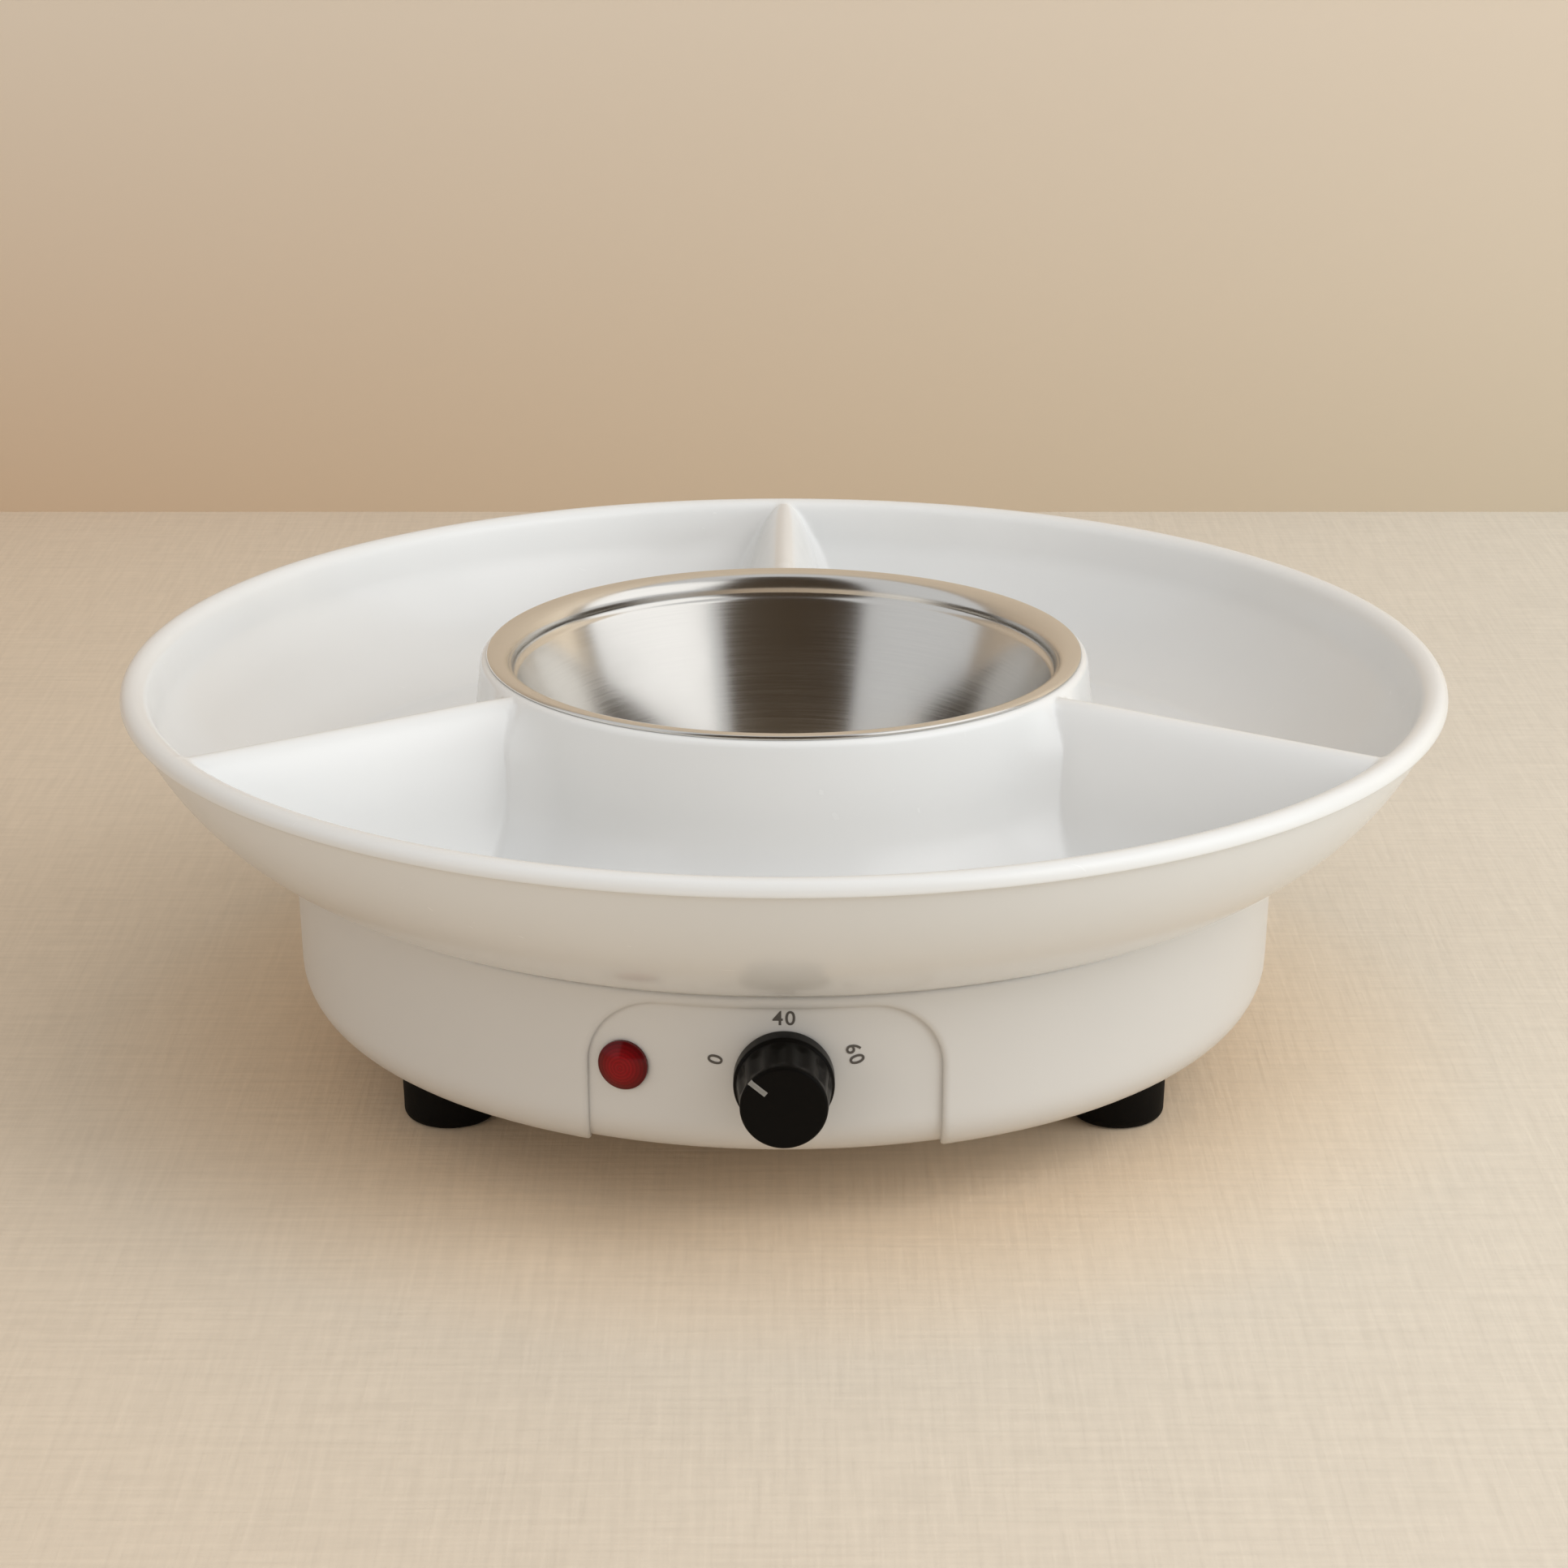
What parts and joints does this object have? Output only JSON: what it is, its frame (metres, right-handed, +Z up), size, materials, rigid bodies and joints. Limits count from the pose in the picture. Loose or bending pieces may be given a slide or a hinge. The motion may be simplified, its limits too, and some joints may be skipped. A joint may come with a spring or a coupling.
{
  "type": "chocolate melter",
  "caption": "Round electric chocolate melter: heated base with knob and lamp, serving tray with compartments round its collar, and a lift-out steel bowl.",
  "frame": {"origin": "on the table under the centre of the melter, at the height of the feet's undersides", "axes": "+Z up, -Y towards the control knob (front), +X to the right seen from the front"},
  "size_m": [0.3, 0.3, 0.0971],
  "materials": {
    "tray_white": "smooth gloss, fine moulded skin",
    "base_white": "smooth satin gloss",
    "bowl_steel": "spun and lightly brushed",
    "knob_black": "satin black",
    "pointer_white": "printed pale line",
    "lens_red": "translucent red, glossy",
    "foot_rubber": "matte black",
    "dish_aluminium": "spun",
    "silicone": "red silicone",
    "steel_screw": "zinc plated",
    "element_steel": "heat-tinted sheath",
    "shield_steel": "aluminised sheet",
    "spring_steel": "bright sheet",
    "thermostat_body": "moulded phenolic",
    "fuse_case": "bright",
    "switch_body": "moulded",
    "brass_part": "bright",
    "lamp_glass": "clear",
    "gland_black": "satin black",
    "nylon": "natural nylon",
    "lead_brown": "insulation",
    "lead_blue": "insulation",
    "lead_green": "insulation",
    "lead_white": "insulation"
  },
  "bodies": {
    "base": {"heating_dish": "dish_aluminium", "dish_gasket": "silicone", "dish_screws": "steel_screw", "top_deck": "base_white", "base_housing": "base_white", "deck_screws": "steel_screw", "foot_screws": "steel_screw", "heating_element": "element_steel", "element_clamp": "spring_steel", "clamp_nut": "steel_screw", "heat_shield": "shield_steel", "shield_nut": "steel_screw", "melt_thermostat": "thermostat_body", "warm_thermostat": "thermostat_body", "thermal_fuse": "fuse_case", "fuse_clip": "spring_steel", "rotary_switch": "switch_body", "switch_tabs": "brass_part", "switch_washer": "steel_screw", "switch_nut": "steel_screw", "indicator_lens": "lens_red", "neon_lamp": "lamp_glass", "lens_clip": "spring_steel", "cord_gland": "gland_black", "gland_nut": "gland_black", "terminal_block": "nylon", "terminal_sleeves": "brass_part", "terminal_screws": "steel_screw", "block_screws": "steel_screw", "foot_rear": "foot_rubber", "foot_left": "foot_rubber", "foot_right": "foot_rubber", "supply_lead": "lead_brown", "neutral_lead": "lead_blue", "switch_lead": "lead_brown", "earth_lead": "lead_green", "lamp_leads": "lead_white"},
    "tray": {"serving_tray": "tray_white"},
    "bowl": {"melting_bowl": "bowl_steel"},
    "knob": {"control_knob": "knob_black", "knob_pointer": "pointer_white", "knob_clip": "spring_steel", "switch_shaft": "steel_screw"}
  },
  "joints": [
    {"name": "knob_turn", "type": "hinge", "parent": "base", "child": "knob", "pos_m": [0, -0.119, 0.0378], "axis": [0, 1, 0], "range_deg": [-22, 122]},
    {"name": "tray_lift", "type": "slide", "parent": "base", "child": "tray", "axis": [0, 0, 1], "range_m": [0, 0.1]},
    {"name": "bowl_lift", "type": "slide", "parent": "tray", "child": "bowl", "axis": [0, 0, 1], "range_m": [0, 0.08]}
  ]
}
